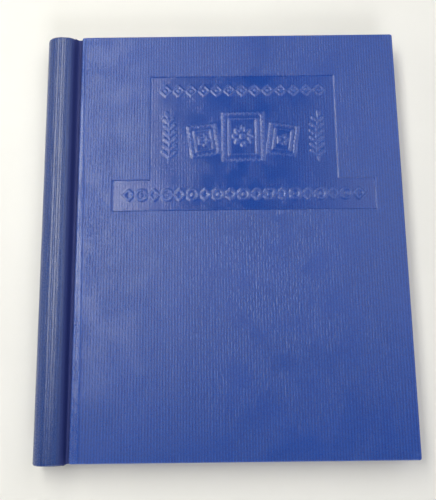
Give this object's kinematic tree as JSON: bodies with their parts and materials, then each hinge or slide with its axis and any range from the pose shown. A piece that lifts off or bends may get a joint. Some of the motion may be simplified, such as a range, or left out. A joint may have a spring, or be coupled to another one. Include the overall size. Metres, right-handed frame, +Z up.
{
  "type": "stamp album",
  "caption": "Closed loose-leaf stamp album: cloth-covered boards hinged to a rolled spring spine that grips its leaves; raised ornament in a pressed panel on the cover.",
  "frame": {"origin": "centre of the closed album's footprint, on the surface it lies on", "axes": "+X from the spine to the fore-edge, +Y from the tail to the head, +Z up through the front cover"},
  "size_m": [0.2266, 0.269, 0.0206],
  "materials": {
    "blue_cloth": "ribbed bookcloth with a slight sheen",
    "greyboard": "dull pressed pulp board",
    "inner_paper": "dull",
    "spine_paper": "dull",
    "spring_steel": "blued, oiled",
    "lever_board": "hard calendered millboard",
    "linen_hinge": "woven linen",
    "endpaper": "matt",
    "leaf_paper": "smooth, matt",
    "title_paper": "smooth, matt"
  },
  "bodies": {
    "spine": {"spring_back": "spring_steel", "spine_lining": "spine_paper", "spring_inner_lining": "inner_paper", "spine_cloth": "blue_cloth"},
    "front_lever": {"front_lever": "lever_board", "front_inner_hinge": "linen_hinge", "front_joint_cloth": "blue_cloth"},
    "front_cover": {"front_cover_cloth": "blue_cloth", "front_board": "greyboard", "front_fill_card": "inner_paper", "front_pastedown": "endpaper"},
    "rear_lever": {"rear_lever": "lever_board", "rear_inner_hinge": "linen_hinge", "rear_joint_cloth": "blue_cloth"},
    "rear_cover": {"rear_cover_cloth": "blue_cloth", "rear_board": "greyboard", "rear_fill_card": "inner_paper", "rear_pastedown": "endpaper"},
    "leaf_block": {"leaf_margins": "leaf_paper"},
    "title_leaf": {"title_leaf": "title_paper"},
    "leaf_pack_01": {"leaf_pack_01": "leaf_paper"},
    "leaf_pack_02": {"leaf_pack_02": "leaf_paper"},
    "leaf_pack_03": {"leaf_pack_03": "leaf_paper"},
    "leaf_pack_04": {"leaf_pack_04": "leaf_paper"},
    "leaf_pack_05": {"leaf_pack_05": "leaf_paper"},
    "leaf_pack_06": {"leaf_pack_06": "leaf_paper"},
    "leaf_pack_07": {"leaf_pack_07": "leaf_paper"},
    "leaf_pack_08": {"leaf_pack_08": "leaf_paper"},
    "leaf_pack_09": {"leaf_pack_09": "leaf_paper"},
    "leaf_pack_10": {"leaf_pack_10": "leaf_paper"},
    "leaf_pack_11": {"leaf_pack_11": "leaf_paper"},
    "leaf_pack_12": {"leaf_pack_12": "leaf_paper"},
    "end_leaf": {"end_leaf": "title_paper"}
  },
  "joints": [
    {"name": "front_lever_pry", "type": "hinge", "parent": "spine", "child": "front_lever", "pos_m": [-0.1133, 0, 0.0103], "axis": [0, -1, 0], "range_deg": [0, 5], "stiffness_Nm_per_rad": 6, "springref_deg": -8.59, "deforming": ["spring_back", "spine_lining", "spring_inner_lining", "spine_cloth"]},
    {"name": "front_cover_hinge", "type": "hinge", "parent": "front_lever", "child": "front_cover", "pos_m": [-0.0917, 0.0005, 0.02], "axis": [0, -1, 0], "range_deg": [0, 178]},
    {"name": "rear_lever_pry", "type": "hinge", "parent": "spine", "child": "rear_lever", "pos_m": [-0.1133, 0, 0.0103], "axis": [0, 1, 0], "range_deg": [0, 5], "stiffness_Nm_per_rad": 6, "springref_deg": -8.59, "deforming": ["spring_back", "spine_lining", "spring_inner_lining", "spine_cloth"]},
    {"name": "rear_cover_hinge", "type": "hinge", "parent": "rear_lever", "child": "rear_cover", "pos_m": [-0.0917, 0.0005, -0.0002], "axis": [0, 1, 0], "range_deg": [0, 178]},
    {"name": "leaf_block_slide", "type": "slide", "parent": "spine", "child": "leaf_block", "axis": [1, 0, 0], "range_m": [0, 0.225]},
    {"name": "title_leaf_turn", "type": "hinge", "parent": "leaf_block", "child": "title_leaf", "pos_m": [-0.0917, 0.0005, 0.02], "axis": [0, -1, 0], "range_deg": [0, 178]},
    {"name": "leaf_pack_01_turn", "type": "hinge", "parent": "leaf_block", "child": "leaf_pack_01", "pos_m": [-0.0917, 0.0005, 0.02], "axis": [0, -1, 0], "range_deg": [0, 178]},
    {"name": "leaf_pack_02_turn", "type": "hinge", "parent": "leaf_block", "child": "leaf_pack_02", "pos_m": [-0.0917, 0.0005, 0.02], "axis": [0, -1, 0], "range_deg": [0, 178]},
    {"name": "leaf_pack_03_turn", "type": "hinge", "parent": "leaf_block", "child": "leaf_pack_03", "pos_m": [-0.0917, 0.0005, 0.02], "axis": [0, -1, 0], "range_deg": [0, 178]},
    {"name": "leaf_pack_04_turn", "type": "hinge", "parent": "leaf_block", "child": "leaf_pack_04", "pos_m": [-0.0917, 0.0005, 0.02], "axis": [0, -1, 0], "range_deg": [0, 178]},
    {"name": "leaf_pack_05_turn", "type": "hinge", "parent": "leaf_block", "child": "leaf_pack_05", "pos_m": [-0.0917, 0.0005, 0.02], "axis": [0, -1, 0], "range_deg": [0, 178]},
    {"name": "leaf_pack_06_turn", "type": "hinge", "parent": "leaf_block", "child": "leaf_pack_06", "pos_m": [-0.0917, 0.0005, 0.02], "axis": [0, -1, 0], "range_deg": [0, 178]},
    {"name": "end_leaf_turn", "type": "hinge", "parent": "leaf_block", "child": "end_leaf", "pos_m": [-0.0917, 0.0005, -0.0002], "axis": [0, 1, 0], "range_deg": [0, 178]},
    {"name": "leaf_pack_12_turn", "type": "hinge", "parent": "leaf_block", "child": "leaf_pack_12", "pos_m": [-0.0917, 0.0005, -0.0002], "axis": [0, 1, 0], "range_deg": [0, 178]},
    {"name": "leaf_pack_11_turn", "type": "hinge", "parent": "leaf_block", "child": "leaf_pack_11", "pos_m": [-0.0917, 0.0005, -0.0002], "axis": [0, 1, 0], "range_deg": [0, 178]},
    {"name": "leaf_pack_10_turn", "type": "hinge", "parent": "leaf_block", "child": "leaf_pack_10", "pos_m": [-0.0917, 0.0005, -0.0002], "axis": [0, 1, 0], "range_deg": [0, 178]},
    {"name": "leaf_pack_09_turn", "type": "hinge", "parent": "leaf_block", "child": "leaf_pack_09", "pos_m": [-0.0917, 0.0005, -0.0002], "axis": [0, 1, 0], "range_deg": [0, 178]},
    {"name": "leaf_pack_08_turn", "type": "hinge", "parent": "leaf_block", "child": "leaf_pack_08", "pos_m": [-0.0917, 0.0005, -0.0002], "axis": [0, 1, 0], "range_deg": [0, 178]},
    {"name": "leaf_pack_07_turn", "type": "hinge", "parent": "leaf_block", "child": "leaf_pack_07", "pos_m": [-0.0917, 0.0005, -0.0002], "axis": [0, 1, 0], "range_deg": [0, 178]}
  ],
  "couplings": [
    {"joint": "title_leaf_turn", "follows": "front_cover_hinge", "ratio": 0.99},
    {"joint": "leaf_pack_01_turn", "follows": "front_cover_hinge", "ratio": 0.97},
    {"joint": "leaf_pack_02_turn", "follows": "front_cover_hinge", "ratio": 0.95},
    {"joint": "leaf_pack_03_turn", "follows": "front_cover_hinge", "ratio": 0.93},
    {"joint": "leaf_pack_04_turn", "follows": "front_cover_hinge", "ratio": 0.91},
    {"joint": "leaf_pack_05_turn", "follows": "front_cover_hinge", "ratio": 0.89},
    {"joint": "leaf_pack_06_turn", "follows": "front_cover_hinge", "ratio": 0.87},
    {"joint": "end_leaf_turn", "follows": "rear_cover_hinge", "ratio": 0.99},
    {"joint": "leaf_pack_12_turn", "follows": "rear_cover_hinge", "ratio": 0.97},
    {"joint": "leaf_pack_11_turn", "follows": "rear_cover_hinge", "ratio": 0.95},
    {"joint": "leaf_pack_10_turn", "follows": "rear_cover_hinge", "ratio": 0.93},
    {"joint": "leaf_pack_09_turn", "follows": "rear_cover_hinge", "ratio": 0.91},
    {"joint": "leaf_pack_08_turn", "follows": "rear_cover_hinge", "ratio": 0.89},
    {"joint": "leaf_pack_07_turn", "follows": "rear_cover_hinge", "ratio": 0.87}
  ]
}
